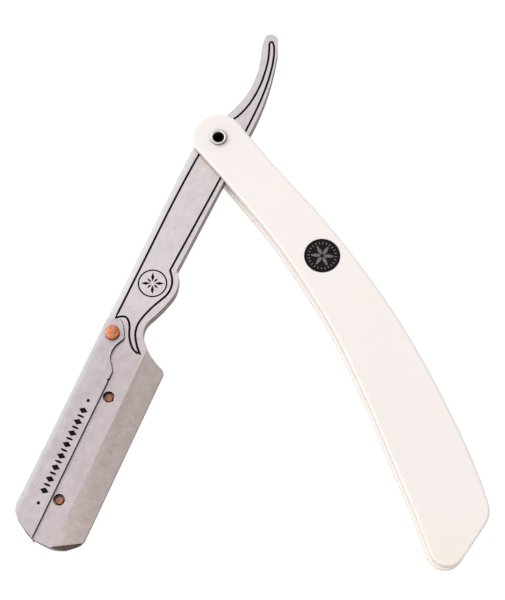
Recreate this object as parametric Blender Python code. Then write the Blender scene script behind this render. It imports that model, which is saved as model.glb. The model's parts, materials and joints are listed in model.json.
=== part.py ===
# Folding razor with a clamped blade holder: a two-plate steel arm, a spring clip along its
# spine, and a handle of two curved scales.
#
# The razor lies flat on its back. +Z is the front, and the pivot axis is the world Z axis,
# with Z = 0 on the back of the handle. Inside an arm or handle outline, x runs out from the
# pivot along the piece and y runs towards the side that carries the cutting edge.

import math

import bmesh
import bpy
from mathutils import Vector

MM = 0.001

# Pose at rest.
ARM_ANGLE = math.radians(-113.4)
HANDLE_ANGLE = math.radians(-64.2)

# Clearances.
REST_GAP = 0.3 * MM
SLOT_CLEARANCE = 0.3 * MM
PIVOT_CLEARANCE = 0.1 * MM
RIVET_CLEARANCE = 0.3 * MM
PIN_CLEARANCE = 0.35 * MM
BADGE_CLEARANCE = 0.1 * MM
HEAD_CLEARANCE = 0.15 * MM
TOE_CLEARANCE = 1.6 * MM
CUT = 1.0 * MM

# Handle.
SCALE_THICKNESS = 1.5 * MM
HANDLE_WIDTH = 17.0 * MM
HANDLE_BOW = 10.3 * MM
HEAD_RADIUS = 6.5 * MM
BUTT_LENGTH = 9.4 * MM
BUTT_TIP_RADIUS = 4.3 * MM
BUTT_SHOULDER_RADIUS = 6.0 * MM
SCALE_ROUNDING = 0.45 * MM
SPACER_INSET = 0.9 * MM
BADGE_RADIUS = 4.25 * MM
BADGE_THICKNESS = 0.6 * MM
BADGE_STATION = 38.8 * MM

# Pivot eyelet.
EYELET_BARREL_RADIUS = 1.7 * MM
EYELET_BORE_RADIUS = 1.3 * MM
EYELET_BORE_DEPTH = 5.6 * MM
EYELET_LIP_RADIUS = 2.05 * MM
EYELET_LIP_HEIGHT = 0.5 * MM
PIVOT_HEAD_RADIUS = 2.6 * MM
PIVOT_HEAD_THICKNESS = 0.7 * MM

# Arm plates.
PLATE_THICKNESS = 1.4 * MM
SPINE_OFFSET = 5.65 * MM
SHANK_EDGE_OFFSET = 4.85 * MM
TAIL_LENGTH = 32.6 * MM
TAIL_WIDTH = 4.9 * MM
TAIL_TIP_RADIUS = 1.8 * MM
DISC_STATION = 40.0 * MM
DISC_BULGE = 6.7 * MM
NECK_EDGE_OFFSET = 3.65 * MM
RIVET_STATION = 55.8 * MM
RIVET_OFFSET = 2.7 * MM
HEEL_AFTER_RIVET = 3.9 * MM
JAW_LENGTH = 47.6 * MM
JAW_EDGE_OFFSET = 12.25 * MM
HEEL_RADIUS = 1.3 * MM
TOE_STEP = 1.2 * MM
BEVEL_START_OFFSET = 6.4 * MM
EDGE_THICKNESS = 0.35 * MM
TOE_FACET_SLOPE = 0.8
TOE_FACET_REACH = 3.0 * MM

# Locating pins for the blade.
PIN_OFFSET = 3.05 * MM
PIN_FROM_HEEL = 10.45 * MM
PIN_SPACING = 26.5 * MM
PIN_RADIUS = 1.0 * MM
PIN_REACH = 1.0 * MM

# Clip.
CLIP_SHEET = 0.4 * MM
CLIP_DEPTH = 7.05 * MM
CLIP_HEAD_LENGTH = 3.9 * MM
CLIP_HEAD_WIDTH = 3.1 * MM
CLIP_WEB_AFTER_RIVET = 4.9 * MM
CLIP_RIVET_RADIUS = 1.0 * MM
CLIP_RIVET_HEAD_RADIUS = 1.75 * MM
CLIP_RIVET_HEAD_HEIGHT = 0.85 * MM
CLIP_REACH = 10.0 * MM

ROUND_STEPS = 32
CURVE_STEPS = 6

# Levels above the back of the handle.
ARM_THICKNESS = 2 * PLATE_THICKNESS + REST_GAP
SLOT_WIDTH = ARM_THICKNESS + 2 * SLOT_CLEARANCE
HANDLE_THICKNESS = 2 * SCALE_THICKNESS + SLOT_WIDTH
MIDDLE = HANDLE_THICKNESS / 2
ARM_BACK = MIDDLE - ARM_THICKNESS / 2
ARM_FRONT = MIDDLE + ARM_THICKNESS / 2

# Places along the arm and the handle.
HEEL_STATION = RIVET_STATION + HEEL_AFTER_RIVET
TOE_STATION = HEEL_STATION + JAW_LENGTH
TOE_REACH = math.hypot(TOE_STATION, PIN_OFFSET)
SPACER_START = TOE_REACH + TOE_CLEARANCE
HANDLE_LENGTH = SPACER_START + BUTT_LENGTH


def clear_scene():
    for item in list(bpy.data.objects):
        bpy.data.objects.remove(item, do_unlink=True)


# --- outlines ---------------------------------------------------------------------------


def curve(points, steps=CURVE_STEPS):
    """Points of a smooth open curve that passes through the given ones."""
    points = [Vector(point) for point in points]
    ends = [2 * points[0] - points[1]] + points + [2 * points[-1] - points[-2]]
    smooth = [points[0]]
    for before, start, end, after in zip(ends, ends[1:], ends[2:], ends[3:]):
        for step in range(1, steps + 1):
            t = step / steps
            smooth.append(
                0.5
                * (
                    2 * start
                    + (end - before) * t
                    + (2 * before - 5 * start + 4 * end - after) * t**2
                    + (3 * start - before - 3 * end + after) * t**3
                )
            )
    return smooth


def arc(centre, radius, start, end, steps):
    """Points from angle start to angle end, in degrees."""
    angles = [math.radians(start + (end - start) * step / steps) for step in range(steps + 1)]
    return [Vector(centre) + radius * Vector((math.cos(a), math.sin(a))) for a in angles]


def fillet(before, corner, after, radius, steps=CURVE_STEPS):
    """Points of a round of the given radius between two straight runs that meet at corner."""
    corner = Vector(corner)
    to_before = (Vector(before) - corner).normalized()
    to_after = (Vector(after) - corner).normalized()
    half_angle = to_before.angle(to_after) / 2
    centre = corner + (to_before + to_after).normalized() * radius / math.sin(half_angle)
    first = corner + to_before * radius / math.tan(half_angle) - centre
    last = corner + to_after * radius / math.tan(half_angle) - centre
    turn = first.angle_signed(last)
    return [
        centre + Vector((first.x * math.cos(a) + first.y * math.sin(a),
                         first.y * math.cos(a) - first.x * math.sin(a)))
        for a in (turn * step / steps for step in range(steps + 1))
    ]


def circle(centre, radius):
    return arc(centre, radius, 0, 360, ROUND_STEPS)[:-1]


def handle_outline():
    """Scale outline: a round head on the pivot, a bowed grip and a slanting butt."""
    stations = (
        (0.10, 0.275, 0.72),
        (0.27, 0.715, 0.775),
        (0.46, 0.98, 0.86),
        (0.62, 1.005, 0.95),
        (0.78, 0.905, 1.01),
        (0.88, 0.80, 1.00),
    )
    convex = []
    concave = []
    for share, bow, width in stations:
        middle = bow * HANDLE_BOW
        half = width * HANDLE_WIDTH / 2
        convex.append((share * HANDLE_LENGTH, middle + half))
        concave.append((share * HANDLE_LENGTH, middle - half))
    head = arc((0, 0), HEAD_RADIUS, 110, 262, 14)
    convex_edge = curve([head[0]] + convex)
    concave_edge = curve([head[-1]] + concave)
    shoulder_corner = Vector((HANDLE_LENGTH - 0.73 * BUTT_LENGTH, 0.905 * HANDLE_WIDTH))
    tip_corner = Vector((HANDLE_LENGTH + 0.34 * BUTT_LENGTH, -0.16 * HANDLE_WIDTH))
    shoulder = fillet(convex_edge[-1], shoulder_corner, tip_corner, BUTT_SHOULDER_RADIUS)
    tip = fillet(shoulder_corner, tip_corner, concave_edge[-1], BUTT_TIP_RADIUS)
    return convex_edge + shoulder + tip + concave_edge[::-1] + head[-2:0:-1]


def spacer_outline(outline):
    """The butt end of the scale outline, set in, with a hollow inner end that clears the toe."""
    inner = arc((0, 0), SPACER_START, 20, -8, 16)
    rim = [point for point in outline if point.length > SPACER_START + SPACER_INSET]
    middle = sum(rim, Vector((0, 0))) / len(rim)
    inset = [point + (middle - point).normalized() * SPACER_INSET for point in rim]
    low = min(math.atan2(point.y, point.x) for point in inset)
    high = max(math.atan2(point.y, point.x) for point in inset)
    inner = [point for point in inner if low < math.atan2(point.y, point.x) < high]
    return inset + inner[::-1]


def toe_outline():
    """Round nose of both plates and the clip, from the spine to the cutting edge."""
    return curve(
        [
            (TOE_STATION - 6.2 * MM, -SPINE_OFFSET),
            (TOE_STATION - 4.2 * MM, 0.8 * MM - SPINE_OFFSET),
            (TOE_STATION - 2.2 * MM, 3.0 * MM - SPINE_OFFSET),
            (TOE_STATION - 0.5 * MM, 6.2 * MM - SPINE_OFFSET),
            (TOE_STATION, JAW_EDGE_OFFSET / 3),
            (TOE_STATION - 0.1 * MM, JAW_EDGE_OFFSET - 5.2 * MM),
            (TOE_STATION - 1.0 * MM, JAW_EDGE_OFFSET - 2.8 * MM),
            (TOE_STATION - 2.5 * MM, JAW_EDGE_OFFSET - 0.9 * MM),
            (TOE_STATION - 4.4 * MM, JAW_EDGE_OFFSET),
        ],
        3,
    )


def tail_side(offsets):
    return [(-share * TAIL_LENGTH, offset * TAIL_WIDTH) for share, offset in offsets]


def arm_outline():
    """Tail, tang, shank, neck and jaw in one closed run, spine side first."""
    tail_spine = curve(
        [(6 * MM, 0.4 * MM - SPINE_OFFSET)]
        + tail_side([(-0.02, -0.88), (0.27, -0.08), (0.45, 0.25), (0.57, 0.27)])
        + tail_side([(0.7, 0.18), (0.88, -0.16)])
    )
    tip_middle = (TAIL_TIP_RADIUS - TAIL_LENGTH, 0.16 * TAIL_WIDTH)
    tip = arc(tip_middle, TAIL_TIP_RADIUS, 250, 120, 6)
    tail_edge = curve(
        tail_side([(0.87, 0.76), (0.71, 1.01), (0.5, 1.22), (0.27, 1.3), (0.0, 1.22)])
        + [(DISC_STATION - 22 * MM, SHANK_EDGE_OFFSET + 0.4 * MM)]
    )
    disc = curve(
        [
            (DISC_STATION - 4.8 * MM, SHANK_EDGE_OFFSET - 0.2 * MM),
            (DISC_STATION - 3.0 * MM, DISC_BULGE - 0.7 * MM),
            (DISC_STATION + 0.5 * MM, DISC_BULGE),
            (DISC_STATION + 4.6 * MM, DISC_BULGE - 0.9 * MM),
            (HEEL_STATION - 12.2 * MM, NECK_EDGE_OFFSET + 1.1 * MM),
            (HEEL_STATION - 9.2 * MM, NECK_EDGE_OFFSET),
            (HEEL_STATION - 6.2 * MM, NECK_EDGE_OFFSET + 0.6 * MM),
            (HEEL_STATION - 3.2 * MM, NECK_EDGE_OFFSET + 3.3 * MM),
            (HEEL_STATION - 1.5 * MM, JAW_EDGE_OFFSET - 2.6 * MM),
        ]
    )
    heel_corner = (HEEL_STATION - 0.4 * MM, JAW_EDGE_OFFSET)
    heel = fillet(disc[-1], heel_corner, (TOE_STATION, JAW_EDGE_OFFSET), HEEL_RADIUS)
    web_spine = -SPINE_OFFSET + CLIP_SHEET + REST_GAP
    step = RIVET_STATION + CLIP_WEB_AFTER_RIVET - CLIP_RIVET_HEAD_RADIUS
    nose = [point for point in toe_outline() if point.y > web_spine + 0.5 * MM]
    inner_nose = [shrink_nose(point) for point in nose]
    return (
        [Vector((step, -SPINE_OFFSET))]
        + tail_spine
        + tip
        + tail_edge
        + disc
        + heel
        + inner_nose[::-1]
        + [Vector((inner_nose[0].x - TOE_STEP, web_spine)), Vector((step, web_spine))]
    )


def shrink_nose(point):
    """The plates' nose lies inside the clip's end, and reaches full size past the clip."""
    clip_edge = CLIP_DEPTH - SPINE_OFFSET
    if point.y > clip_edge:
        return point
    return point - Vector((CLIP_SHEET + REST_GAP, 0))


def clip_outline():
    """Side view of the clip: a blunt head round the rivet, a waist, and a long flat to the toe."""
    rivet = Vector((RIVET_STATION, -RIVET_OFFSET))
    length = Vector((CLIP_HEAD_LENGTH, 0))
    width = Vector((0, CLIP_HEAD_WIDTH))
    depth = CLIP_DEPTH - SPINE_OFFSET
    nose = [point for point in toe_outline() if point.y < depth]
    head = curve(
        [
            (RIVET_STATION - 0.62 * CLIP_HEAD_LENGTH, -SPINE_OFFSET),
            rivet - 0.9 * length - 0.25 * width,
            rivet - length + 0.12 * width,
            rivet - 0.78 * length + 0.45 * width,
            rivet - 0.33 * length + 0.81 * width,
            rivet + 0.02 * length + width,
            rivet + 0.28 * length + 0.88 * width,
            rivet + 0.65 * length + 0.67 * width,
            rivet + 1.1 * length + 0.61 * width,
            rivet + 1.5 * length + 0.73 * width,
            rivet + 1.87 * length + 1.07 * width,
            (RIVET_STATION + 2.2 * CLIP_HEAD_LENGTH, depth),
        ],
        4,
    )
    return head + [Vector((TOE_STATION + 0.1 * MM, depth))] + nose[::-1]


# --- solids -----------------------------------------------------------------------------


def material(name, colour, roughness, metallic):
    made = bpy.data.materials.new(name)
    made.use_nodes = True
    shader = made.node_tree.nodes["Principled BSDF"]
    shader.inputs["Base Color"].default_value = (*colour, 1)
    shader.inputs["Roughness"].default_value = roughness
    shader.inputs["Metallic"].default_value = metallic
    return made


def place(name, mesh, paint, parent):
    made = bpy.data.objects.new(name, mesh)
    bpy.context.scene.collection.objects.link(made)
    made.parent = parent
    if paint:
        mesh.materials.append(paint)
    else:
        made.hide_render = True
        made.display_type = "WIRE"
    mesh.shade_smooth()
    mesh.set_sharp_from_angle(angle=math.radians(32))
    return made


def empty(name, location, angle, parent=None):
    made = bpy.data.objects.new(name, None)
    bpy.context.scene.collection.objects.link(made)
    made.parent = parent
    made.location = location
    made.rotation_euler.z = angle
    return made


def prism(name, outline, low, high, paint, parent, middle=(0, 0)):
    """A flat piece of the given outline between two levels, drawn about middle."""
    shape = bmesh.new()
    corners = [
        shape.verts.new((point[0] - middle[0], point[1] - middle[1], low)) for point in outline
    ]
    face = shape.faces.new(corners)
    lifted = bmesh.ops.extrude_face_region(shape, geom=[face])["geom"]
    top = [item for item in lifted if isinstance(item, bmesh.types.BMVert)]
    bmesh.ops.translate(shape, verts=top, vec=(0, 0, high - low))
    bmesh.ops.remove_doubles(shape, verts=shape.verts, dist=0.02 * MM)
    bmesh.ops.recalc_face_normals(shape, faces=shape.faces)
    mesh = bpy.data.meshes.new(name)
    shape.to_mesh(mesh)
    shape.free()
    return place(name, mesh, paint, parent)


def turned(name, profile, paint, parent):
    """A round piece from a closed profile of (radius, level) points, turned about its own Z."""
    shape = bmesh.new()
    corners = [shape.verts.new((radius, 0, level)) for radius, level in profile]
    edges = [shape.edges.new(pair) for pair in zip(corners, corners[1:])]
    bmesh.ops.spin(
        shape,
        geom=corners + edges,
        cent=(0, 0, 0),
        axis=(0, 0, 1),
        angle=math.tau,
        steps=ROUND_STEPS,
        use_merge=True,
    )
    bmesh.ops.remove_doubles(shape, verts=shape.verts, dist=0.02 * MM)
    bmesh.ops.recalc_face_normals(shape, faces=shape.faces)
    mesh = bpy.data.meshes.new(name)
    shape.to_mesh(mesh)
    shape.free()
    return place(name, mesh, paint, parent)


def hull(name, points, parent):
    """A cutter with flat sides through the given corners."""
    shape = bmesh.new()
    for point in points:
        shape.verts.new(point)
    bmesh.ops.convex_hull(shape, input=shape.verts)
    bmesh.ops.recalc_face_normals(shape, faces=shape.faces)
    mesh = bpy.data.meshes.new(name)
    shape.to_mesh(mesh)
    shape.free()
    return place(name, mesh, None, parent)


def cut(target, cutter):
    modifier = target.modifiers.new("cut " + cutter.name, "BOOLEAN")
    modifier.operation = "DIFFERENCE"
    modifier.solver = "EXACT"
    modifier.object = cutter


def soften(target, width):
    modifier = target.modifiers.new("rounding", "BEVEL")
    modifier.width = width
    modifier.segments = 2
    modifier.limit_method = "ANGLE"
    modifier.angle_limit = math.radians(50)


def drill(target, name, centre, radius, low, high, parent):
    cut(target, prism(name, circle(centre, radius), low, high, None, parent))


# --- pieces -----------------------------------------------------------------------------


def make_handle(axis, ivory, black):
    outline = handle_outline()
    levels = {
        "scale_back": (0, SCALE_THICKNESS),
        "scale_front": (HANDLE_THICKNESS - SCALE_THICKNESS, HANDLE_THICKNESS),
    }
    scales = {}
    for name, (low, high) in levels.items():
        scale = prism(name, outline, low, high, ivory, axis)
        soften(scale, SCALE_ROUNDING)
        hole = EYELET_BARREL_RADIUS + PIVOT_CLEARANCE
        drill(scale, name + "_pivot_hole", (0, 0), hole, low - CUT, high + CUT, axis)
        scales[name] = scale
    seat = PIVOT_HEAD_THICKNESS + REST_GAP
    seat_radius = PIVOT_HEAD_RADIUS + BADGE_CLEARANCE
    drill(scales["scale_back"], "pivot_head_seat", (0, 0), seat_radius, -CUT, seat, axis)
    prism(
        "butt_spacer",
        spacer_outline(outline),
        SCALE_THICKNESS + REST_GAP,
        HANDLE_THICKNESS - SCALE_THICKNESS - REST_GAP,
        ivory,
        axis,
    )
    badge_middle = (BADGE_STATION, 0.87 * HANDLE_BOW)
    badge_base = HANDLE_THICKNESS - BADGE_THICKNESS
    badge_hole = BADGE_RADIUS + BADGE_CLEARANCE
    badge_floor = badge_base - REST_GAP
    drill(scales["scale_front"], "badge_seat", badge_middle, badge_hole, badge_floor,
          HANDLE_THICKNESS + CUT, axis)
    prism("badge", circle(badge_middle, BADGE_RADIUS), badge_base, HANDLE_THICKNESS, black, axis)


def make_eyelet(steel):
    lip_base = HANDLE_THICKNESS + HEAD_CLEARANCE
    lip_top = lip_base + EYELET_LIP_HEIGHT
    lip_middle = (EYELET_LIP_RADIUS + EYELET_BORE_RADIUS) / 2
    profile = [
        (0, 0),
        (PIVOT_HEAD_RADIUS, 0),
        (PIVOT_HEAD_RADIUS, PIVOT_HEAD_THICKNESS),
        (EYELET_BARREL_RADIUS, PIVOT_HEAD_THICKNESS),
        (EYELET_BARREL_RADIUS, lip_base),
        (EYELET_LIP_RADIUS, lip_base),
        (EYELET_LIP_RADIUS, lip_base + 0.5 * EYELET_LIP_HEIGHT),
        (lip_middle + 0.2 * MM, lip_top),
        (lip_middle - 0.1 * MM, lip_top),
        (EYELET_BORE_RADIUS, lip_base + 0.6 * EYELET_LIP_HEIGHT),
        (EYELET_BORE_RADIUS, lip_top - EYELET_BORE_DEPTH),
        (0, lip_top - EYELET_BORE_DEPTH),
    ]
    turned("pivot_eyelet", profile, steel, None)


def bevel_cutter(name, side, axis):
    """Wedge that grinds the face on one side (1 front, -1 back) down to the cutting edge."""
    face = MIDDLE + side * ARM_THICKNESS / 2
    drop = PLATE_THICKNESS - EDGE_THICKNESS
    beyond = JAW_EDGE_OFFSET + CUT
    slope = drop / (JAW_EDGE_OFFSET - BEVEL_START_OFFSET)
    low = face - side * slope * (beyond - BEVEL_START_OFFSET)
    high = face + side * CUT
    lift = BEVEL_START_OFFSET - CUT
    lifted = face + side * slope * CUT
    corners = [
        (x, y, z)
        for x in (HEEL_STATION - 4 * MM, TOE_STATION + CUT)
        for y, z in ((lift, lifted), (beyond, low), (beyond, high), (lift, high))
    ]
    return hull(name, corners, axis)


def toe_cutter(name, side, axis):
    """Wedge that grinds a second facet across the corner between the toe and the edge."""
    face = MIDDLE + side * ARM_THICKNESS / 2
    slope = (PLATE_THICKNESS - EDGE_THICKNESS) / (JAW_EDGE_OFFSET - BEVEL_START_OFFSET)
    start = Vector((TOE_STATION - 0.4 * MM, BEVEL_START_OFFSET, face))
    end = Vector((TOE_STATION - 4.0 * MM, JAW_EDGE_OFFSET, 0))
    end.z = face - side * slope * (end.y - start.y)
    run = (end - start).normalized() * TOE_FACET_REACH
    outward = Vector((-run.y, run.x, 0)).normalized() * TOE_FACET_REACH
    outward = outward if outward.x > 0 else -outward
    above = Vector((0, 0, side * TOE_FACET_REACH))
    fall = outward - TOE_FACET_SLOPE * above
    inner = [start - run - 0.3 * fall, end + run - 0.3 * fall]
    outer = [start - run + fall, end + run + fall]
    lifted = [point + above for point in inner] + [point + 2 * above for point in outer]
    return hull(name, inner + outer + lifted, axis)


def make_plate(name, side, axis, steel):
    face = MIDDLE + side * ARM_THICKNESS / 2
    inner = face - side * PLATE_THICKNESS
    low, high = min(face, inner), max(face, inner)
    plate = prism(name, arm_outline(), low, high, steel, axis)
    cut(plate, bevel_cutter(name + "_bevel", side, axis))
    cut(plate, toe_cutter(name + "_toe_facet", side, axis))
    pivot_hole = EYELET_BARREL_RADIUS + PIVOT_CLEARANCE
    rivet_hole = CLIP_RIVET_RADIUS + RIVET_CLEARANCE
    rivet = (RIVET_STATION, -RIVET_OFFSET)
    drill(plate, name + "_pivot_hole", (0, 0), pivot_hole, low - CUT, high + CUT, axis)
    drill(plate, name + "_rivet_hole", rivet, rivet_hole, low - CUT, high + CUT, axis)
    return plate


def pin_places():
    first = HEEL_STATION + PIN_FROM_HEEL
    return [(first, PIN_OFFSET), (first + PIN_SPACING, PIN_OFFSET)]


def make_arm(axis, steel, copper):
    """Two plates, with pins on the back one that reach through holes in the front one."""
    front = make_plate("arm_plate_front", 1, axis, steel)
    make_plate("arm_plate_back", -1, axis, steel)
    back_inner = ARM_BACK + PLATE_THICKNESS
    front_inner = ARM_FRONT - PLATE_THICKNESS
    hole = PIN_RADIUS + PIN_CLEARANCE
    for number, middle in enumerate(pin_places(), 1):
        drill(front, f"pin_hole_{number}", middle, hole, front_inner - CUT, ARM_FRONT + CUT, axis)
        prism(f"locating_pin_{number}", circle(middle, PIN_RADIUS), back_inner + HEAD_CLEARANCE,
              back_inner + PIN_REACH, copper, axis)


def block(name, stations, offsets, levels, origin, parent):
    """A cutter with square corners between two stations, two offsets and two levels."""
    corners = [Vector((x, y, z)) - origin for x in stations for y in offsets for z in levels]
    return hull(name, corners, parent)


def make_clip(arm_axis, steel, copper):
    """A folded sheet over the spine: two walls, a web past the rivet and a closed end."""
    rivet = Vector((RIVET_STATION, -RIVET_OFFSET, 0))
    hinge = empty("clip_axis", rivet, 0, arm_axis)
    inside = (ARM_BACK - REST_GAP, ARM_FRONT + REST_GAP)
    clip = prism("spine_clip", clip_outline(), inside[0] - CLIP_SHEET, inside[1] + CLIP_SHEET,
                 steel, hinge, middle=rivet)
    web_start = RIVET_STATION + CLIP_WEB_AFTER_RIVET
    channel = block("clip_channel", (web_start, TOE_STATION + CLIP_REACH),
                    (CLIP_SHEET - SPINE_OFFSET, CLIP_REACH), inside, rivet, hinge)
    head_room = block("clip_head_room", (RIVET_STATION - CLIP_REACH, web_start + 0.1 * MM),
                      (-CLIP_REACH - SPINE_OFFSET, CLIP_REACH), inside, rivet, hinge)
    cut(clip, channel)
    cut(clip, head_room)
    drill_radius = CLIP_RIVET_RADIUS + HEAD_CLEARANCE
    drill(clip, "clip_rivet_hole", (0, 0), drill_radius, -CUT, HANDLE_THICKNESS + CUT, hinge)
    make_clip_rivet(inside[1] + CLIP_SHEET + HEAD_CLEARANCE, arm_axis, copper)


def make_clip_rivet(head_base, arm_axis, copper):
    """A rivet with a domed head on each side of the clip."""
    dome = []
    sag = CLIP_RIVET_HEAD_HEIGHT
    for step in range(7):
        share = step / 6
        radius = CLIP_RIVET_HEAD_RADIUS * math.cos(share * math.pi / 2)
        dome.append((radius, head_base + sag * (0.3 + 0.7 * math.sin(share * math.pi / 2))))
    front = [(CLIP_RIVET_RADIUS, head_base), (CLIP_RIVET_HEAD_RADIUS, head_base)] + dome
    back = [(radius, 2 * MIDDLE - level) for radius, level in front]
    rivet = turned("clip_rivet", back[::-1] + front, copper, arm_axis)
    rivet.location = (RIVET_STATION, -RIVET_OFFSET, 0)


def main():
    clear_scene()
    steel = material("brushed steel", (0.68, 0.65, 0.64), 0.35, 1.0)
    plated = material("plated steel", (0.75, 0.73, 0.72), 0.25, 1.0)
    copper = material("copper", (0.72, 0.35, 0.22), 0.35, 1.0)
    ivory = material("ivory plastic", (0.92, 0.87, 0.82), 0.35, 0.0)
    black = material("black enamel", (0.02, 0.02, 0.02), 0.4, 0.0)
    handle_axis = empty("handle_axis", (0, 0, 0), HANDLE_ANGLE)
    arm_axis = empty("arm_axis", (0, 0, 0), ARM_ANGLE)
    make_handle(handle_axis, ivory, black)
    make_eyelet(plated)
    make_arm(arm_axis, steel, copper)
    make_clip(arm_axis, steel, copper)


main()
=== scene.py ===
import json
import math

import bmesh
import bpy
from mathutils import Matrix, Vector

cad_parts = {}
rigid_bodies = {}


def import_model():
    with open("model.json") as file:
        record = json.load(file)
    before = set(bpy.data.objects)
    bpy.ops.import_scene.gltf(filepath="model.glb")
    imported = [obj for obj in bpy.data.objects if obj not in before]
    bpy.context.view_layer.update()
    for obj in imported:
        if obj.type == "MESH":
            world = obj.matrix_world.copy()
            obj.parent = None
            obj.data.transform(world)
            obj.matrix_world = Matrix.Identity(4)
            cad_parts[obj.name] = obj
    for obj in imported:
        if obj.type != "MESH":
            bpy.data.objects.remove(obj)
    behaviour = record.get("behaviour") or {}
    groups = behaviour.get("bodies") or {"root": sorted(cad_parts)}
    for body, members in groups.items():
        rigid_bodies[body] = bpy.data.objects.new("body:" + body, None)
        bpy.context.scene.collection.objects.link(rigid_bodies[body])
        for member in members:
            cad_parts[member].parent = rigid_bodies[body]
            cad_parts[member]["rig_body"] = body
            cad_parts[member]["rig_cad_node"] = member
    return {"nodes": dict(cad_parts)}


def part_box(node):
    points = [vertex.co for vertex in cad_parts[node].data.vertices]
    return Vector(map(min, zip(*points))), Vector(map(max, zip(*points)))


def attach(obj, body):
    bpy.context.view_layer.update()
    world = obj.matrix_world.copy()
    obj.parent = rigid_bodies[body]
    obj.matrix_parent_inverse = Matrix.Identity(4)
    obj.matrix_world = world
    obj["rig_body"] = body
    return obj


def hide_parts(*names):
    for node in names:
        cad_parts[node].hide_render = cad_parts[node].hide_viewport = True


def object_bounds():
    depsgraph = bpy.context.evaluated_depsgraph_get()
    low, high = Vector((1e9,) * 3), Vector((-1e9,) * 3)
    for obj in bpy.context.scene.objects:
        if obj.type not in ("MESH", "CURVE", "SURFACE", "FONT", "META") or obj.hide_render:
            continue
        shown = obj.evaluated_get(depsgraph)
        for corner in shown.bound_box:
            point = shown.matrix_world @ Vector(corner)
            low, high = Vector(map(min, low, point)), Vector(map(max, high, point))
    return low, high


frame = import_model()
cadLow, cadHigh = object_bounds()
mm = 0.001

# Levels, middles and directions; everything placed below hangs on these
armAngle = math.radians(-113.4)
handleAngle = math.radians(-64.2)
spineAcross = -5.65  # the straight back of the arm, in millimetres
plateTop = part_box("arm_plate_front")[1].z
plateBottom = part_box("arm_plate_back")[0].z
clipLow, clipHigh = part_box("spine_clip")

# How level a face is, as the upward part of its normal
levelFace = 0.9999
satinFace = 0.9975
roundedFace = 0.97
groundFace = 0.8
uprightFace = 0.3


def middleOf(nodeName):
    low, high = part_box(nodeName)
    return (low + high) / 2


def armPoint(along, across, level):
    # a place on the arm: millimetres out from the pivot, and towards the cutting edge
    turned = Matrix.Rotation(armAngle, 3, "Z") @ Vector((along * mm, across * mm, 0))
    return Vector((turned.x, turned.y, level))


def armWay(vector):
    # a direction or a place seen along the arm instead of along the world's axes
    return Matrix.Rotation(-armAngle, 3, "Z") @ vector


def pickOnly(*pieces):
    if bpy.context.mode != "OBJECT":
        bpy.ops.object.mode_set(mode="OBJECT")
    bpy.ops.object.select_all(action="DESELECT")
    for piece in pieces:
        piece.select_set(True)
    bpy.context.view_layer.objects.active = pieces[0]


def newest(name):
    piece = bpy.context.view_layer.objects.active
    piece.name = name
    piece.data.name = name
    return piece


def settle(piece):
    # the object goes back to the origin, and its place into its mesh
    pickOnly(piece)
    bpy.ops.object.transform_apply(location=True, rotation=True, scale=True)
    return piece


def applyModifiers(piece):
    pickOnly(piece)
    for modifier in list(piece.modifiers):
        bpy.ops.object.modifier_apply(modifier=modifier.name)


copySizes = {"mergeReach": 0.002 * mm, "flatAngle": math.radians(0.6), "near": 0.01 * mm,
             "nearBack": 0.05 * mm}


def copyOfNode(nodeName, name):
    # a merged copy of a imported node, ready to be finished by hand
    pickOnly(frame["nodes"][nodeName])
    bpy.ops.object.duplicate()
    copy = newest(name)
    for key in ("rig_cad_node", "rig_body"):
        del copy[key]
    bpy.ops.object.parent_clear(type="CLEAR")
    bpy.ops.mesh.customdata_custom_splitnormals_clear()
    bpy.ops.object.mode_set(mode="EDIT")
    bpy.ops.mesh.select_all(action="SELECT")
    bpy.ops.mesh.remove_doubles(threshold=copySizes["mergeReach"])
    bpy.ops.mesh.dissolve_limited(angle_limit=copySizes["flatAngle"])
    bpy.ops.object.mode_set(mode="OBJECT")
    copy.data.materials.clear()
    return copy


def roundSpine(piece, levels, width, segments=4):
    # rounds the long straight edges at the back of the arm that lie on these levels
    pickOnly(piece)
    bpy.ops.object.mode_set(mode="EDIT")
    bpy.ops.mesh.select_mode(type="EDGE")
    bpy.ops.mesh.select_all(action="DESELECT")
    near = copySizes["near"]
    shape = bmesh.from_edit_mesh(piece.data)
    for edge in shape.edges:
        first, second = (corner.co for corner in edge.verts)
        onBack = all(abs(armWay(place).y - spineAcross * mm) < copySizes["nearBack"]
                     for place in (first, second))
        onLevel = any(abs(first.z - level) < near for level in levels)
        if onBack and onLevel and abs(first.z - second.z) < near:
            edge.select_set(True)
    bmesh.update_edit_mesh(piece.data)
    bpy.ops.mesh.bevel(offset=width, segments=segments, affect="EDGES")
    bpy.ops.object.mode_set(mode="OBJECT")


def roundEdges(piece, width, angle=50):
    rounding = piece.modifiers.new("rounding", "BEVEL")
    rounding.width = width
    rounding.segments = 2
    rounding.limit_method = "ANGLE"
    rounding.angle_limit = math.radians(angle)
    rounding.use_clamp_overlap = False
    applyModifiers(piece)


def smoothFaces(piece, angle=35):
    # round edges are smooth, and the level faces stay flat
    pickOnly(piece)
    bpy.ops.object.shade_smooth_by_angle(angle=math.radians(angle))
    for face in piece.data.polygons:
        if abs(face.normal.z) > levelFace:
            face.use_smooth = False


def joined(name, parts):
    pickOnly(*parts)
    bpy.ops.object.join()
    return settle(newest(name))


def engrave(piece, cutter, ink):
    # the cut faces take the cutter's paint
    cutter.data.materials.clear()
    cutter.data.materials.append(ink)
    cut = piece.modifiers.new("engraving", "BOOLEAN")
    cut.operation = "DIFFERENCE"
    cut.solver = "EXACT"
    cut.use_self = True
    cut.material_mode = "TRANSFER"
    cut.object = cutter
    applyModifiers(piece)
    bpy.data.objects.remove(cutter, do_unlink=True)
    pickOnly(piece)


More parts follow.
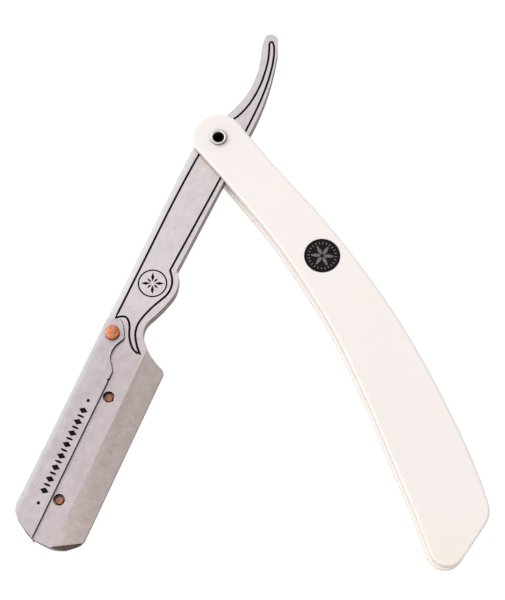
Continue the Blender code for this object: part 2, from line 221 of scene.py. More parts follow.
def paintFaces(piece, finishes, choose=None):
    # choose(face) gives the number of the finish, or 0 for the first one
    for finish in finishes:
        piece.data.materials.append(finish)
    for face in piece.data.polygons:
        face.material_index = choose(face) if choose else 0


def putOn(piece, body, slotName, *nodes):
    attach(piece, body)
    if nodes:
        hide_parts(*nodes)


def startFinish(name, colour, roughness, metallic):
    finish = bpy.data.materials.new(name)
    finish.use_nodes = True
    shader = finish.node_tree.nodes["Principled BSDF"]
    shader.inputs["Base Color"].default_value = (*colour, 1)
    shader.inputs["Roughness"].default_value = roughness
    shader.inputs["Metallic"].default_value = metallic
    return finish, finish.node_tree, shader


def addNode(tree, kind, inputs=None, **settings):
    node = tree.nodes.new(kind)
    for key, value in settings.items():
        setattr(node, key, value)
    for key, value in (inputs or {}).items():
        node.inputs[key].default_value = value
    return node


def placed(tree, turn=0.0, stretch=1.0, shift=0.0):
    # object coordinates turned to lie along a piece, and drawn out that way
    where = addNode(tree, "ShaderNodeTexCoord")
    mapping = addNode(tree, "ShaderNodeMapping", {
        "Location": (shift, shift, shift), "Rotation": (0, 0, turn), "Scale": (stretch, 1, 1)},
        vector_type="TEXTURE")
    tree.links.new(where.outputs["Object"], mapping.inputs["Vector"])
    return mapping.outputs["Vector"]


def axisOf(tree, axis, turn=0.0):
    axes = addNode(tree, "ShaderNodeSeparateXYZ")
    tree.links.new(placed(tree, turn), axes.inputs["Vector"])
    return axes.outputs[axis]


def noise(tree, vector, scale, detail=4.0, roughness=0.6):
    node = addNode(tree, "ShaderNodeTexNoise", {
        "Scale": scale, "Detail": detail, "Roughness": roughness})
    tree.links.new(vector, node.inputs["Vector"])
    return node.outputs["Fac"]


def spread(tree, value, low, high, fromLow=0.3, fromHigh=0.7):
    node = addNode(tree, "ShaderNodeMapRange", {
        "From Min": fromLow, "From Max": fromHigh, "To Min": low, "To Max": high})
    tree.links.new(value, node.inputs["Value"])
    return node.outputs["Result"]


def tinted(tree, factor, colour, tint, way="MIX"):
    # colour is a plain colour or another node's output
    node = addNode(tree, "ShaderNodeMix", data_type="RGBA", blend_type=way)
    if isinstance(colour, tuple):
        node.inputs[6].default_value = (*colour, 1)
    else:
        tree.links.new(colour, node.inputs[6])
    node.inputs[7].default_value = (*tint, 1)
    tree.links.new(factor, node.inputs["Factor"])
    return node.outputs[2]


def joinValues(tree, operation, first, second):
    node = addNode(tree, "ShaderNodeMath", operation=operation)
    for socket, value in zip(node.inputs, (first, second)):
        if isinstance(value, float):
            socket.default_value = value
        else:
            tree.links.new(value, socket)
    return node.outputs["Value"]


def raised(tree, shader, height, strength, depth):
    bump = addNode(tree, "ShaderNodeBump", {"Strength": strength, "Distance": depth * mm})
    tree.links.new(height, bump.inputs["Height"])
    tree.links.new(bump.outputs["Normal"], shader.inputs["Normal"])


# jaw and spine are (start, end, tint) in millimetres along or across the arm; the spine tint is a
# painted reflection
steelLooks = {
    "shankSteel": {"light": (0.775, 0.70, 0.715), "dark": (0.605, 0.55, 0.56), "roughness": 0.36,
                   "grainTurn": armAngle, "stretch": 6, "grain": 2400, "clouds": 420,
                   "pits": 1500, "pitDepth": 0.35, "relief": 0.3,
                   "jaw": (46, 60, (0.825, 0.79, 0.795)),
                   "spine": (-3.5, -5.5, (0.86, 0.90, 0.93))},
    "clipSteel": {"light": (0.645, 0.57, 0.585), "dark": (0.475, 0.425, 0.44), "roughness": 0.38,
                  "grainTurn": armAngle, "stretch": 6, "grain": 2400, "clouds": 400,
                  "pits": 1300, "pitDepth": 0.4, "relief": 0.3,
                  "spine": (-3.9, -5.6, (0.76, 0.78, 0.81))},
    "groundSteel": {"light": (0.89, 0.755, 0.73), "dark": (0.60, 0.51, 0.49), "roughness": 0.42,
                    "grainTurn": armAngle + math.pi / 2, "stretch": 4, "grain": 2600,
                    "clouds": 480, "pits": 1500, "pitDepth": 0.35, "relief": 0.4},
    # painted shade: a darkened copy of the steel for walls, rims and the toe facet
    "paintedShadeRimSteel": {"light": (0.16, 0.135, 0.12), "dark": (0.085, 0.070, 0.064), "roughness": 0.42,
                 "grainTurn": armAngle, "stretch": 4, "grain": 3000, "clouds": 500,
                 "pits": 1500, "pitDepth": 0.4, "relief": 0.3},
    # painted shade: a darkened copy of the steel for the upright back edges
    "paintedShadeSideSteel": {"light": (0.46, 0.425, 0.42), "dark": (0.34, 0.31, 0.305), "roughness": 0.42,
                  "grainTurn": armAngle, "stretch": 6, "grain": 2400, "clouds": 420,
                  "pits": 1500, "pitDepth": 0.4, "relief": 0.3},
    "eyeletSteel": {"light": (0.76, 0.72, 0.71), "dark": (0.58, 0.54, 0.53), "roughness": 0.27,
                    "grainTurn": 0.0, "stretch": 1, "grain": 5200, "clouds": 600,
                    "pits": 1700, "pitDepth": 0.3, "relief": 0.12},
}
# each detail is (depth of detail, its roughness)
steelGrain = {
    "streakDetail": (5.0, 0.65), "cloudDetail": (4.0, 0.6), "pitDetail": (2.0, 0.5),
    "cloudShift": 0.3, "pitShift": 0.7, "roughRange": (0.1, 0.9),
    "streakShare": 0.4, "cloudShare": 0.6,  # how much each adds to the lighter tone
    "paleMost": 0.75, "pitRange": (0.62, 0.74), "pitTone": (0.72, 0.66, 0.62), "pitHeight": 0.4,
    "dullest": 0.07, "brightest": -0.05, "bumpDepth": 0.04,
}


def steelFinish(name):
    # satin ground steel: fine streaks, soft cloudy patches and a few darker pits
    look = steelLooks[name]
    finish, tree, shader = startFinish(name, look["light"], look["roughness"], 1.0)
    turn = look["grainTurn"]
    streaks = noise(tree, placed(tree, turn, look["stretch"]), look["grain"],
                    *steelGrain["streakDetail"])
    clouds = noise(tree, placed(tree, turn, 1.0, steelGrain["cloudShift"]), look["clouds"],
                   *steelGrain["cloudDetail"])
    pits = noise(tree, placed(tree, turn, 1.0, steelGrain["pitShift"]), look["pits"],
                 *steelGrain["pitDetail"])
    tone = joinValues(tree, "ADD", spread(tree, streaks, 0.0, steelGrain["streakShare"]),
                      spread(tree, clouds, 0.0, steelGrain["cloudShare"]))
    colour = tinted(tree, tone, look["dark"], look["light"])
    if "spine" in look:  # painted reflection: cooler and paler towards the rounded back
        start, end, tint = look["spine"]
        spineReflection = spread(tree, axisOf(tree, "Y", turn), steelGrain["paleMost"], 0.0,
                       end * mm, start * mm)
        colour = tinted(tree, spineReflection, colour, tint)
    if "jaw" in look:  # duller and warmer where the jaw has been handled
        start, end, tint = look["jaw"]
        duller = spread(tree, axisOf(tree, "X", turn), 0.0, 1.0, start * mm, end * mm)
        colour = tinted(tree, duller, colour, tint, "MULTIPLY")
    spots = spread(tree, pits, 0.0, look["pitDepth"], *steelGrain["pitRange"])
    colour = tinted(tree, spots, colour, steelGrain["pitTone"], "MULTIPLY")
    tree.links.new(colour, shader.inputs["Base Color"])
    rough = spread(tree, tone, look["roughness"] + steelGrain["dullest"],
                   look["roughness"] + steelGrain["brightest"], *steelGrain["roughRange"])
    tree.links.new(rough, shader.inputs["Roughness"])
    pitting = joinValues(tree, "MULTIPLY", pits, steelGrain["pitHeight"])
    raised(tree, shader, joinValues(tree, "ADD", streaks, pitting), look["relief"],
           steelGrain["bumpDepth"])
    return finish


copperLooks = {
    "rivetCopper": {"light": (0.77, 0.285, 0.16), "dark": (0.38, 0.12, 0.058), "roughness": 0.36,
                    "patches": 1300, "fine": 5000, "dents": 3.0, "relief": 0.8},
    # painted shade: a darkened copy of the copper for the walls of the rivet and pin heads
    "rivetPaintedShade": {"light": (0.20, 0.070, 0.040), "dark": (0.09, 0.030, 0.018), "roughness": 0.5,
                   "patches": 1300, "fine": 5000, "dents": 1.0, "relief": 0.4},
    "pinCopper": {"light": (0.52, 0.215, 0.145), "dark": (0.33, 0.125, 0.080), "roughness": 0.45,
                  "patches": 1500, "fine": 6000, "dents": 1.2, "relief": 0.5},
}
copperGrain = {"patchDetail": (3.0, 0.6), "fineDetail": (4.0, 0.7),
               "brightest": -0.06, "dullest": 0.1, "bumpDepth": 0.06}


def copperFinish(name):
    # handled copper: darker patches with shallow dents and a fine dull skin
    look = copperLooks[name]
    finish, tree, shader = startFinish(name, look["light"], look["roughness"], 1.0)
    patches = noise(tree, placed(tree), look["patches"], *copperGrain["patchDetail"])
    fine = noise(tree, placed(tree), look["fine"], *copperGrain["fineDetail"])
    tree.links.new(tinted(tree, spread(tree, patches, 0, 1), look["dark"], look["light"]),
                   shader.inputs["Base Color"])
    tree.links.new(spread(tree, fine, look["roughness"] + copperGrain["brightest"],
                          look["roughness"] + copperGrain["dullest"]), shader.inputs["Roughness"])
    height = joinValues(tree, "ADD", joinValues(tree, "MULTIPLY", patches, look["dents"]), fine)
    raised(tree, shader, height, look["relief"], copperGrain["bumpDepth"])
    return finish


ivoryLooks = {
    "ivoryPlastic": {"light": (0.90, 0.84, 0.815), "warm": (0.88, 0.82, 0.785),
                     "tip": (0.885, 0.81, 0.72), "roughness": 0.34},
    # painted shade: a darkened copy of the ivory for the handle's side walls
    "ivoryPaintedShadeEdge": {"light": (0.66, 0.60, 0.565), "warm": (0.62, 0.56, 0.52),
                  "tip": (0.62, 0.55, 0.49), "roughness": 0.45},
}
ivorySkin = {
    "drift": 22, "skin": 900, "scuffs": 2600, "scuffStretch": 25, "scuffHeight": 0.3,
    "driftDetail": (2.0, 0.5), "skinDetail": (3.0, 0.55), "scuffDetail": (4.0, 0.7),
    "roughRange": (0.15, 0.4),
    "tipReach": (0.002, 0.014), "tipMost": 0.6,  # how far up from the butt it turns warmer and a little darker
    "glow": 0.15, "glowReach": (1.0, 0.75, 0.55), "glowSize": 1.2 * mm,
    "coat": 0.12, "coatRoughness": 0.22, "brightest": -0.05, "dullest": 0.09,
    "relief": 0.12, "bumpDepth": 0.05,
}


def ivoryFinish(name):
    # moulded plastic: a faint warm and cool drift, a soft skin and hair-fine scuffs
    look = ivoryLooks[name]
    finish, tree, shader = startFinish(name, look["light"], look["roughness"], 0.0)
    shader.inputs["Subsurface Weight"].default_value = ivorySkin["glow"]
    shader.inputs["Subsurface Radius"].default_value = ivorySkin["glowReach"]
    shader.inputs["Subsurface Scale"].default_value = ivorySkin["glowSize"]
    shader.inputs["Coat Weight"].default_value = ivorySkin["coat"]
    shader.inputs["Coat Roughness"].default_value = ivorySkin["coatRoughness"]
    drift = noise(tree, placed(tree), ivorySkin["drift"], *ivorySkin["driftDetail"])
    skin = noise(tree, placed(tree), ivorySkin["skin"], *ivorySkin["skinDetail"])
    scuffs = noise(tree, placed(tree, handleAngle, ivorySkin["scuffStretch"]),
                   ivorySkin["scuffs"], *ivorySkin["scuffDetail"])
    colour = tinted(tree, spread(tree, drift, 0, 1), look["warm"], look["light"])
    nearTip, farTip = (cadLow.y + reach for reach in ivorySkin["tipReach"])
    warmerTowardsButt = spread(tree, axisOf(tree, "Y"), ivorySkin["tipMost"], 0.0, nearTip, farTip)
    tree.links.new(tinted(tree, warmerTowardsButt, colour, look["tip"]), shader.inputs["Base Color"])
    worn = joinValues(tree, "MULTIPLY", skin, scuffs)
    tree.links.new(spread(tree, worn, look["roughness"] + ivorySkin["brightest"],
                          look["roughness"] + ivorySkin["dullest"], *ivorySkin["roughRange"]),
                   shader.inputs["Roughness"])
    scratches = joinValues(tree, "MULTIPLY", scuffs, ivorySkin["scuffHeight"])
    raised(tree, shader, joinValues(tree, "ADD", skin, scratches), ivorySkin["relief"],
           ivorySkin["bumpDepth"])
    return finish


# each as (light, dark, roughness)
enamelLooks = {
    "blackInk": ((0.010, 0.008, 0.008), (0.004, 0.004, 0.004), 0.6),
    "badgeBlack": ((0.016, 0.011, 0.011), (0.008, 0.005, 0.005), 0.5),
    "badgeGrey": ((0.22, 0.185, 0.19), (0.12, 0.10, 0.10), 0.5),
    # painted shade: the dark finish for pin hole walls, the bore and the clip's jaw edge
    "paintedShadeDark": ((0.030, 0.024, 0.022), (0.012, 0.010, 0.010), 0.55),
}
enamelGrain = {"shine": 0.06, "grain": 2200, "detail": (4.0, 0.65), "brightest": -0.06,
               "dullest": 0.1, "relief": 0.15, "bumpDepth": 0.03}


def enamelFinish(name):
    # dull dark paint with a fine grain, and the same dark finish used as painted shade in pin
    # holes, the bore and along the clip's jaw edge
    light, dark, roughness = enamelLooks[name]
    finish, tree, shader = startFinish(name, light, roughness, 0.0)
    shader.inputs["Specular IOR Level"].default_value = enamelGrain["shine"]
    grain = noise(tree, placed(tree), enamelGrain["grain"], *enamelGrain["detail"])
    tree.links.new(tinted(tree, spread(tree, grain, 0, 1), dark, light),
                   shader.inputs["Base Color"])
    tree.links.new(spread(tree, grain, roughness + enamelGrain["brightest"],
                          roughness + enamelGrain["dullest"]), shader.inputs["Roughness"])
    raised(tree, shader, grain, enamelGrain["relief"], enamelGrain["bumpDepth"])
    return finish


finishes = {name: steelFinish(name) for name in steelLooks}
finishes.update({name: copperFinish(name) for name in copperLooks})
finishes.update({name: ivoryFinish(name) for name in ivoryLooks})
finishes.update({name: enamelFinish(name) for name in enamelLooks})
print("finishes ready")


armSizes = {
    "edgeRound": 0.10 * mm, "spineRound": 0.35 * mm, "smooth": 25,
    "pinHole": 1.4 * mm,  # how far round a pin the painted shade on the hole wall reaches
    "backAcross": -0.2, "backAlong": 0.3,  # the back edge's normal lies under both
    "lineRadius": 0.30 * mm, "lineLift": 0.08 * mm, "lineSteps": 4, "lineRoundness": 2,
    # the engraved border, as (along, across, corner) on the arm
    "border": [
        (57.9, 4.87, 0), (57.5, 3.65, 0), (56.6, 2.5, 0), (55.6, 1.7, 0), (54.4, 0.98, 0),
        (52.35, 0.1, 0), (51.25, -0.75, 0), (50.8, -1.5, 0), (50.85, -2.2, 0), (51.3, -3.05, 0),
        (51.9, -3.78, 1), (46, -3.7, 0), (40, -3.68, 0), (34, -3.62, 0), (27, -3.6, 0),
        (20, -3.53, 0), (12, -3.3, 0), (4.8, -2.9, 0), (0, -2.3, 0), (-3.5, -0.8, 0),
        (-6.4, 0.7, 0), (-8.4, 1.75, 0), (-11.1, 2.65, 0), (-14.1, 3.15, 0), (-17.9, 3.32, 0),
        (-21.8, 3.0, 0), (-25.6, 2.3, 0), (-28.9, 1.2, 0), (-30.05, 0.85, 0), (-30.55, 1.15, 0),
        (-30.2, 1.7, 0), (-28.8, 2.55, 0), (-25.5, 3.65, 0), (-22.4, 4.3, 0), (-19.5, 4.72, 0),
        (-15.6, 5.03, 0), (-11.6, 5.13, 0), (-8.3, 5.1, 0), (-4.4, 5.0, 0), (2, 4.8, 0),
        (8.5, 4.45, 0), (14, 4.2, 0), (20, 3.9, 0), (27, 3.55, 0), (35.8, 3.1, 1),
        (36.6, 3.75, 0), (37.7, 4.5, 0), (39.5, 5.12, 0), (41.7, 5.0, 0), (43.3, 4.35, 0),
        (45, 3.55, 0), (47.05, 2.75, 0), (49.35, 2.05, 0), (51.3, 1.78, 0), (52.6, 1.92, 0),
        (53.9, 2.32, 0), (55, 2.95, 0), (56.1, 3.72, 0), (57.1, 4.6, 0), (57.9, 5.45, 0),
    ],
    "ringPlace": (40.5, 0.65), "ringRadius": 3.36 * mm, "ringLine": 0.20 * mm,
    "ringLift": 0.04 * mm, "ringSteps": 72, "ringRoundness": 8,
    # the star's lozenges: middle and half length are shares of the reach
    "starTurn": 0.4, "starReach": (2.6 * mm, 1.75 * mm), "starPoints": 8, "starMiddle": 0.62,
    "starHalf": 0.45, "starSlim": 0.34, "starDepth": 0.24 * mm,
}


def engravedLine(name, stops, radius, level):
    # a round wire along the stops, cut into the face to leave a groove
    bpy.ops.curve.primitive_bezier_curve_add()
    wire = newest(name)
    wire.location = (0, 0, 0)
    wire.data.splines.clear()
    line = wire.data.splines.new("BEZIER")
    line.bezier_points.add(len(stops) - 1)
    for point, (along, across, corner) in zip(line.bezier_points, stops):
        point.co = armPoint(along, across, level)
        point.handle_left_type = point.handle_right_type = "VECTOR" if corner else "AUTO"
    wire.data.dimensions = "3D"
    wire.data.resolution_u = armSizes["lineSteps"]
    wire.data.bevel_depth = radius
    wire.data.bevel_resolution = armSizes["lineRoundness"]
    wire.data.use_fill_caps = True
    pickOnly(wire)
    bpy.ops.object.convert(target="MESH")
    return newest(name)


def starCutter(place, level):
    # a plain star of slim lozenges, long and short by turns
    parts = []
    for number in range(armSizes["starPoints"]):
        reach = armSizes["starReach"][number % 2]
        angle = armAngle + armSizes["starTurn"] + number * math.tau / armSizes["starPoints"]
        way = Vector((math.cos(angle), math.sin(angle), 0))
        middle = place + way * reach * armSizes["starMiddle"]
        bpy.ops.mesh.primitive_cylinder_add(
            vertices=4, radius=reach * armSizes["starHalf"], depth=armSizes["starDepth"],
            rotation=(0, 0, angle), scale=(1, armSizes["starSlim"], 1),
            location=(middle.x, middle.y, level))
        parts.append(newest("lozenge"))
    return joined("starCutter", parts)


pinMiddles = [middleOf("locating_pin_1"), middleOf("locating_pin_2")]


def plateFace(face):
    # 0 satin shank, 1 ground bevel, 2 rim in painted shade, 3 wall of a pin hole in painted shade,
    # 4 back edge in painted shade
    way = armWay(face.normal)
    tilt = abs(way.z)
    byPin = any((face.center - middle).to_2d().length < armSizes["pinHole"]
                for middle in pinMiddles)
    if byPin and tilt < roundedFace:
        return 3
    if tilt > satinFace:
        return 0
    if way.y < armSizes["backAcross"] and way.x < armSizes["backAlong"]:
        return 0 if tilt > uprightFace else 4
    return 1 if tilt > groundFace else 2


plateFinishes = [finishes[key] for key in ("shankSteel", "groundSteel", "paintedShadeRimSteel", "paintedShadeDark",
                                           "paintedShadeSideSteel")]


def finishPlate(nodeName, name, outerLevel):
    plate = copyOfNode(nodeName, name)
    roundSpine(plate, (outerLevel,), armSizes["spineRound"])
    roundEdges(plate, armSizes["edgeRound"])
    paintFaces(plate, plateFinishes, plateFace)
    return plate


frontPlate = finishPlate("arm_plate_front", "frontPlate", plateTop)
engrave(frontPlate, engravedLine("borderWire", armSizes["border"], armSizes["lineRadius"],
                                 plateTop + armSizes["lineLift"]), finishes["blackInk"])
bpy.ops.mesh.primitive_torus_add(
    location=armPoint(*armSizes["ringPlace"], plateTop + armSizes["ringLift"]),
    major_radius=armSizes["ringRadius"], minor_radius=armSizes["ringLine"],
    major_segments=armSizes["ringSteps"], minor_segments=armSizes["ringRoundness"])
engrave(frontPlate, settle(newest("ringWire")), finishes["blackInk"])
engrave(frontPlate, starCutter(armPoint(*armSizes["ringPlace"], plateTop), plateTop),
        finishes["blackInk"])
smoothFaces(frontPlate, armSizes["smooth"])
putOn(frontPlate, "arm", "steel", "arm_plate_front")

backPlate = finishPlate("arm_plate_back", "backPlate", plateBottom)
smoothFaces(backPlate, armSizes["smooth"])
putOn(backPlate, "arm", "steel", "arm_plate_back")
print("arm plates ready")


clipSizes = {
    "spineRound": 0.24 * mm, "edgeRound": 0.12 * mm,  # together less than the sheet's thickness
    "roundFrom": 60, "smooth": 30,
    "jawAcross": 0.1, "backAlong": 0.3,  # the back edge's normal lies under both
    "rowStart": 75.6, "rowEnd": 96.2, "rowAcross": -0.8, "rowCount": 15,
    # each mark as (half its length, half its width, corners)
    "lozenge": (0.76 * mm, 1.1 * mm, 4), "bar": (0.28 * mm, 0.9 * mm, 12),
    "dots": (73.0, 99.3), "dotRadius": 0.40 * mm, "dotCorners": 20, "inkDepth": 0.16 * mm,
    "notch": (66.6, 1.3), "notchRadius": 0.3 * mm, "notchDepth": 0.5 * mm, "notchCorners": 16,
}


def clipFace(face):
    # 0 satin face, 1 edge round the toe in painted shade, 2 edge along the jaw in painted shade as
    # a black shadow line, 3 back in painted shade
    way = armWay(face.normal)
    if abs(way.z) > roundedFace:
        return 0
    if way.y < clipSizes["jawAcross"] and way.x < clipSizes["backAlong"]:
        return 0 if abs(way.z) > uprightFace else 3
    return 2 if way.y > clipSizes["jawAcross"] else 1


def rowCutter():
    # lozenges and bars by turns in a row along the clip, with a dot at each end
    parts = []
    step = (clipSizes["rowEnd"] - clipSizes["rowStart"]) / (clipSizes["rowCount"] - 1)
    shapes = (clipSizes["lozenge"], clipSizes["bar"])
    marks = [(clipSizes["rowStart"] + number * step, shapes[number % 2])
             for number in range(clipSizes["rowCount"])]
    dot = (clipSizes["dotRadius"], clipSizes["dotRadius"], clipSizes["dotCorners"])
    marks += [(along, dot) for along in clipSizes["dots"]]
    for along, (halfAlong, halfAcross, corners) in marks:
        bpy.ops.mesh.primitive_cylinder_add(
            vertices=corners, radius=halfAcross, depth=clipSizes["inkDepth"],
            location=armPoint(along, clipSizes["rowAcross"], clipHigh.z),
            rotation=(0, 0, armAngle), scale=(halfAlong / halfAcross, 1, 1))
        parts.append(newest("rowMark"))
    return joined("rowCutter", parts)


spineClip = copyOfNode("spine_clip", "spineClip")
roundSpine(spineClip, (clipLow.z, clipHigh.z), clipSizes["spineRound"])
roundEdges(spineClip, clipSizes["edgeRound"], clipSizes["roundFrom"])
clipFinishes = [finishes[key] for key in ("clipSteel", "paintedShadeRimSteel", "paintedShadeDark", "paintedShadeSideSteel")]
paintFaces(spineClip, clipFinishes, clipFace)
engrave(spineClip, rowCutter(), finishes["blackInk"])
bpy.ops.mesh.primitive_cylinder_add(
    vertices=clipSizes["notchCorners"], radius=clipSizes["notchRadius"],
    depth=clipSizes["notchDepth"], location=armPoint(*clipSizes["notch"], clipHigh.z))
engrave(spineClip, settle(newest("notchCutter")), finishes["blackInk"])
smoothFaces(spineClip, clipSizes["smooth"])
putOn(spineClip, "clip", "steel", "spine_clip")
print("clip ready")


turnedMerge = 0.004 * mm


def turnedPiece(name, middle, profile, steps=64):
    # one corner is drawn out along the profile, in millimetres, then spun round the middle
    bpy.ops.object.select_all(action="DESELECT")
    bpy.ops.mesh.primitive_plane_add(size=mm, location=(middle.x, middle.y, 0))
    piece = newest(name)
    bpy.ops.object.mode_set(mode="EDIT")
    bpy.ops.mesh.select_mode(type="VERT")
    bpy.ops.mesh.select_all(action="SELECT")
    bpy.ops.mesh.merge(type="CENTER")
    radius, level = profile[0]
    bpy.ops.transform.translate(value=(radius * mm, 0, level * mm))
    for nextRadius, nextLevel in profile[1:]:
        bpy.ops.mesh.extrude_region_move(TRANSFORM_OT_translate={
            "value": ((nextRadius - radius) * mm, 0, (nextLevel - level) * mm)})
        radius, level = nextRadius, nextLevel
    bpy.ops.mesh.select_all(action="SELECT")
    bpy.ops.mesh.spin(steps=steps, angle=math.tau, center=(middle.x, middle.y, 0), axis=(0, 0, 1))
    bpy.ops.mesh.select_all(action="SELECT")
    bpy.ops.mesh.remove_doubles(threshold=turnedMerge)
    bpy.ops.mesh.normals_make_consistent(inside=False)
    bpy.ops.object.mode_set(mode="OBJECT")
    return settle(piece)


eyeletSizes = {
    # in millimetres, as are all the turned pieces' profiles
    "bore": 1.3, "depth": 5.6, "floorEdge": 0.1, "floorInset": 0.2,
    "back": [(0, 0), (2.3, 0), (2.52, 0.06), (2.6, 0.2), (2.6, 0.7), (1.7, 0.7)],
    # the lip, as (radius, drop below its top)
    "lip": [(1.7, 0.5), (2.0, 0.5), (2.06, 0.42), (2.06, 0.24), (1.98, 0.1), (1.86, 0.03),
            (1.72, 0.0), (1.56, 0.02), (1.44, 0.1), (1.36, 0.22), (1.32, 0.4), (1.3, 0.7)],
    # where the painted shade is: down the bore, and outside the lip above the back head
    "boreShadeRadius": 1.33, "boreDrop": 0.35, "lipShadeRadius": 2.0, "backTop": 1.0,
}
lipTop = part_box("pivot_eyelet")[1].z / mm
boreFloor = lipTop - eyeletSizes["depth"]
eyeletProfile = list(eyeletSizes["back"])
eyeletProfile += [(radius, lipTop - drop) for radius, drop in eyeletSizes["lip"]]
eyeletProfile += [(eyeletSizes["bore"], boreFloor + eyeletSizes["floorEdge"]),
                  (eyeletSizes["bore"] - eyeletSizes["floorInset"], boreFloor), (0, boreFloor)]


def eyeletFace(face):
    # 1 for the bore in painted shade, and 2 for the wall round the outside of the lip in painted
    # shade
    away, level = face.center.to_2d().length / mm, face.center.z / mm
    if level < eyeletSizes["backTop"]:
        return 0
    if away < eyeletSizes["boreShadeRadius"] and level < lipTop - eyeletSizes["boreDrop"]:
        return 1
    return 2 if away > eyeletSizes["lipShadeRadius"] else 0


eyelet = turnedPiece("pivotEyelet", Vector((0, 0, 0)), eyeletProfile)
paintFaces(eyelet, (finishes["eyeletSteel"], finishes["paintedShadeDark"], finishes["paintedShadeRimSteel"]),
           eyeletFace)
smoothFaces(eyelet)
putOn(eyelet, "handle", "plated_steel", "pivot_eyelet")

rivetSizes = {"radius": 1.75, "shank": 1.0, "headHeight": 0.85, "wall": 0.58, "rounds": 8,
              "shadedWallFace": 0.7, "smooth": 50}


def domeProfile(reach):
    # up the head's wall and over its dome to the middle
    base = reach - rivetSizes["headHeight"]
    rim = base + rivetSizes["wall"]
    turns = [number / rivetSizes["rounds"] * math.pi / 2 for number in range(rivetSizes["rounds"])]
    arc = [(rivetSizes["radius"] * math.cos(turn), rim + (reach - rim) * math.sin(turn))
           for turn in turns]
    return [(rivetSizes["radius"], base)] + arc + [(0, reach)]


rivetMiddle = middleOf("clip_rivet")
rivetReach = (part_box("clip_rivet")[1].z - rivetMiddle.z) / mm
frontHead = domeProfile(rivetReach)
rivetProfile = [(radius, -level) for radius, level in reversed(frontHead)]
rivetProfile += [(rivetSizes["shank"], rivetSizes["headHeight"] - rivetReach),
                 (rivetSizes["shank"], rivetReach - rivetSizes["headHeight"])] + frontHead
rivet = turnedPiece("clipRivet", rivetMiddle,
                    [(radius, level + rivetMiddle.z / mm) for radius, level in rivetProfile])
# painted shade on the steep wall of each rivet head
paintFaces(rivet, (finishes["rivetCopper"], finishes["rivetPaintedShade"]),
           lambda face: 1 if abs(face.normal.z) < rivetSizes["shadedWallFace"] else 0)
smoothFaces(rivet, rivetSizes["smooth"])
putOn(rivet, "arm", "copper", "clip_rivet")

pinSizes = {
    "radius": 1.0, "steps": 48,
    # the head, as (radius, drop below the top)
    "head": [(1.0, 0.16), (0.96, 0.07), (0.88, 0.02), (0.78, 0.0), (0.45, 0.0), (0.3, 0.03),
             (0, 0.05)],
}
for number, middle in enumerate(pinMiddles, 1):
    low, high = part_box(f"locating_pin_{number}")
    base, top = low.z / mm, high.z / mm
    profile = [(0, base), (pinSizes["radius"], base)]
    profile += [(radius, top - drop) for radius, drop in pinSizes["head"]]
    pin = turnedPiece(f"locatingPin{number}", middle, profile, pinSizes["steps"])
    # painted shade on the pin's side and chamfer, a dark ring round each head
    paintFaces(pin, (finishes["pinCopper"], finishes["rivetPaintedShade"]),
               lambda face: 1 if abs(face.normal.z) < roundedFace else 0)
    smoothFaces(pin)
    putOn(pin, "arm", "copper", f"locating_pin_{number}")
print("turned pieces ready")


# each piece as (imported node, name, rounding of its edges)
handleSizes = {
    "pieces": [("scale_front", "frontScale", 0), ("scale_back", "backScale", 0),
               ("butt_spacer", "buttSpacer", 0.12 * mm)],
    "shadedSideFace": 0.45, "smooth": 38,
}
for nodeName, name, rounding in handleSizes["pieces"]:
    scale = copyOfNode(nodeName, name)
    if rounding:
        roundEdges(scale, rounding)
    # painted shade on the side walls of each handle piece
    paintFaces(scale, (finishes["ivoryPlastic"], finishes["ivoryPaintedShadeEdge"]),
               lambda face: 1 if abs(face.normal.z) < handleSizes["shadedSideFace"] else 0)
    smoothFaces(scale, handleSizes["smooth"])
    putOn(scale, "handle", "ivory", nodeName)

badgeSizes = {
    # as (radius, drop below the top)
    "disc": [(0, 0.6), (4.15, 0.6), (4.25, 0.5), (4.25, 0.06), (4.2, 0.01), (4.1, 0), (4.0, 0),
             (3.9, 0.05), (0, 0.05)],
    "dish": 0.05 * mm, "steps": 72, "markSteps": 16, "smooth": 60,
    # each ring of marks, as (count, distance out, half sizes)
    "rings": [(6, 1.35 * mm, (0.95, 0.42, 0.05)), (6, 2.35 * mm, (0.30, 0.30, 0.045)),
              (24, 3.25 * mm, (0.34, 0.13, 0.04))],
}
badgeMiddle = middleOf("badge")
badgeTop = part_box("badge")[1].z
badgeProfile = [(radius, badgeTop / mm - drop) for radius, drop in badgeSizes["disc"]]
badge = turnedPiece("badgeDisc", badgeMiddle, badgeProfile, badgeSizes["steps"])
paintFaces(badge, (finishes["badgeBlack"],))
smoothFaces(badge)
putOn(badge, "handle", "badge_black", "badge")

marks = []
for count, out, halfSizes in badgeSizes["rings"]:
    for number in range(count):
        angle = handleAngle + number * math.tau / count
        way = Vector((math.cos(angle), math.sin(angle), 0))
        middle = badgeMiddle + way * out
        bpy.ops.mesh.primitive_uv_sphere_add(
            segments=badgeSizes["markSteps"], ring_count=badgeSizes["markSteps"] // 2, radius=mm,
            rotation=(0, 0, angle), scale=halfSizes,
            location=(middle.x, middle.y, badgeTop - badgeSizes["dish"]))
        marks.append(newest("badgeMark"))
badgeMotif = joined("badgeMotif", marks)
paintFaces(badgeMotif, (finishes["badgeGrey"],))
smoothFaces(badgeMotif, badgeSizes["smooth"])
putOn(badgeMotif, "handle", "badge_black")
print("handle ready")


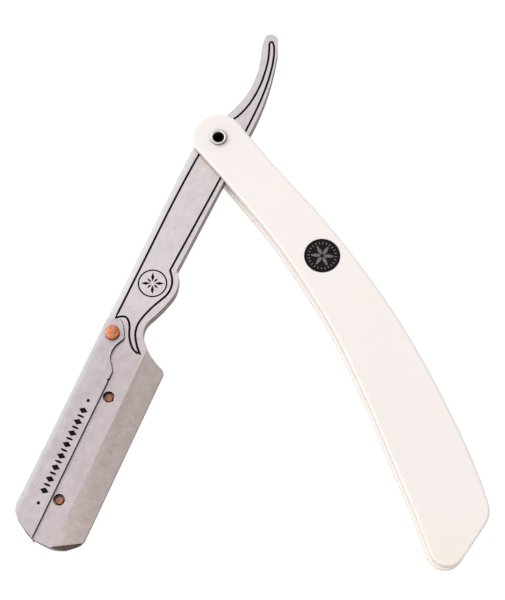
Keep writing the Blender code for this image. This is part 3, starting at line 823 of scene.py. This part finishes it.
studio = {
    "floorSize": 6.0, "floorDrop": 0.1 * mm, "floorTone": 0.08, "floorGlow": 0.96,
    "floorRoughness": 0.9,
    # the sky is brighter on the left: its middle strength, its slope and its limits
    "skyMiddle": 0.95, "skySlope": 0.9, "skyLow": 0.45, "skyHigh": 1.7,
    "keyPlace": (-0.62, 0.5, 0.5), "keySize": 0.5, "keyPower": 1.5,
    "lookAt": (0.008325, -0.042475, 0.00715), "elevation": 70.0, "distance": 0.380,
    "lens": 96.67, "filmWidth": 36, "nearest": 0.01,
}

bpy.context.scene.view_settings.view_transform = "Standard"
bpy.ops.mesh.primitive_plane_add(size=studio["floorSize"], location=(0, 0, -studio["floorDrop"]))
floor = newest("studioFloor")
floorFinish, _, floorShader = startFinish(
    "paleFloor", [studio["floorTone"]] * 3, studio["floorRoughness"], 0.0)
floorShader.inputs["Emission Color"].default_value = (1, 1, 1, 1)
floorShader.inputs["Emission Strength"].default_value = studio["floorGlow"]
floor.data.materials.append(floorFinish)

world = bpy.data.worlds.new("studioSky")
bpy.context.scene.world = world
world.use_nodes = True
sky = world.node_tree
background = sky.nodes["Background"]
background.inputs["Color"].default_value = (1, 1, 1, 1)
where = addNode(sky, "ShaderNodeTexCoord")
axes = addNode(sky, "ShaderNodeSeparateXYZ")
sky.links.new(where.outputs["Generated"], axes.inputs["Vector"])
strength = joinValues(sky, "MULTIPLY", axes.outputs["X"], -studio["skySlope"])
strength = joinValues(sky, "ADD", strength, studio["skyMiddle"])
strength = joinValues(sky, "MAXIMUM", strength, studio["skyLow"])
strength = joinValues(sky, "MINIMUM", strength, studio["skyHigh"])
sky.links.new(strength, background.inputs["Strength"])

bpy.ops.object.light_add(type="AREA", location=studio["keyPlace"])
keyBox = bpy.context.object
keyBox.name = "keyBox"
keyBox.data.size = studio["keySize"]
keyBox.data.energy = studio["keyPower"]
keyBox.rotation_euler = (-Vector(studio["keyPlace"])).to_track_quat("-Z", "Y").to_euler()

tilt = math.radians(studio["elevation"])
back = Vector((0, -math.cos(tilt), math.sin(tilt)))
bpy.ops.object.camera_add(location=Vector(studio["lookAt"]) + back * studio["distance"],
                          rotation=(math.pi / 2 - tilt, 0, 0))
camera = bpy.context.object
camera.data.lens = studio["lens"]
camera.data.sensor_width = studio["filmWidth"]
camera.data.clip_start = studio["nearest"]
bpy.context.scene.camera = camera
print("studio ready")
